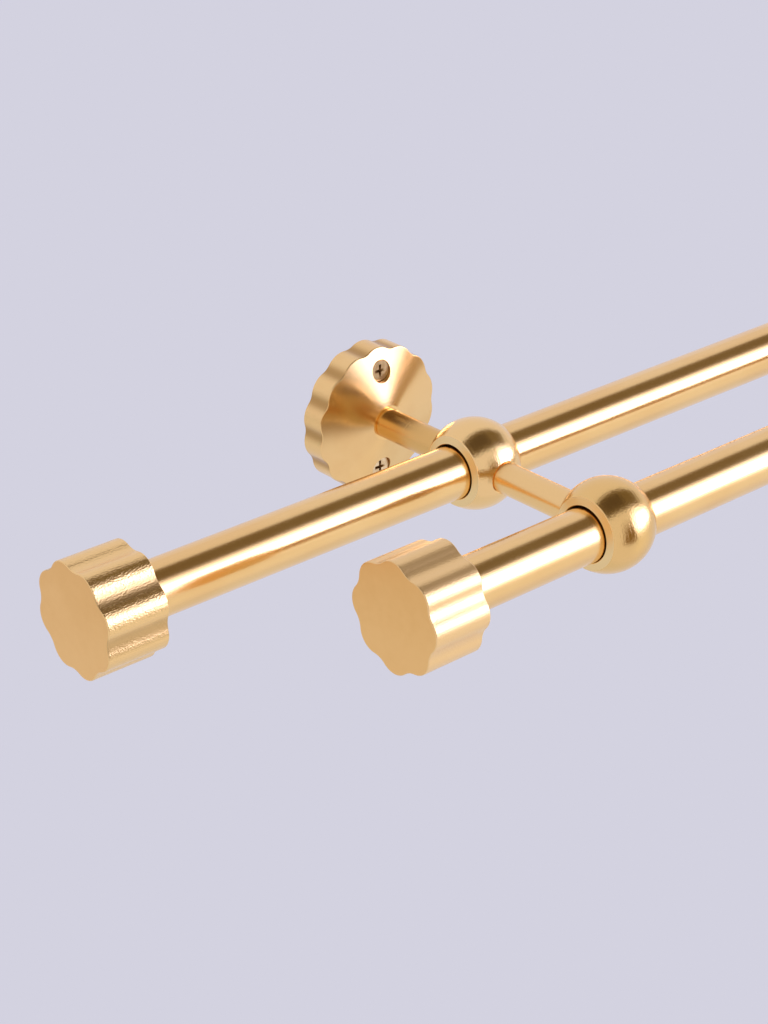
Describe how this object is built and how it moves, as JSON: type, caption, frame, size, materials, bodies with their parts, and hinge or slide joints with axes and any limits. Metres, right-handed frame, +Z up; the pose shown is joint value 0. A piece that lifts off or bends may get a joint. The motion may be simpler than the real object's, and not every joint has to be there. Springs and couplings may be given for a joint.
{
  "type": "double curtain pole",
  "caption": "Double curtain pole in satin brass: parallel round poles held in ball rings on arms from scalloped wall plates, closed by fluted end caps.",
  "frame": {"origin": "on the wall plane, midway between the brackets, at the height of the plates' centres", "axes": "+X along the poles to the right, +Y into the wall, +Z up; the poles stand out towards -Y"},
  "size_m": [0.709, 0.1484, 0.055],
  "materials": {
    "pole_brass": "smooth satin lacquered tube",
    "ring_brass": "satin, softly polished ball with fine rub marks",
    "arm_brass": "smooth satin turned rod",
    "plate_brass": "turned face with fine concentric lines, satin flutes",
    "cap_brass": "flat satin face, grainy brushed flutes",
    "screw_brass": "satin with a slightly pink tone",
    "screw_steel": "plain zinc-plated steel"
  },
  "bodies": {
    "root": {"rear_pole": "pole_brass", "front_pole": "pole_brass", "left_rear_ring": "ring_brass", "left_front_ring": "ring_brass", "right_rear_ring": "ring_brass", "right_front_ring": "ring_brass", "left_rear_arm": "arm_brass", "left_front_arm": "arm_brass", "right_rear_arm": "arm_brass", "right_front_arm": "arm_brass", "left_wall_plate": "plate_brass", "right_wall_plate": "plate_brass", "left_rear_cap": "cap_brass", "left_front_cap": "cap_brass", "right_rear_cap": "cap_brass", "right_front_cap": "cap_brass", "wall_screws": "screw_brass", "plate_bolts": "screw_steel", "ring_grubs": "screw_steel", "cap_grubs": "screw_steel"}
  },
  "joints": []
}
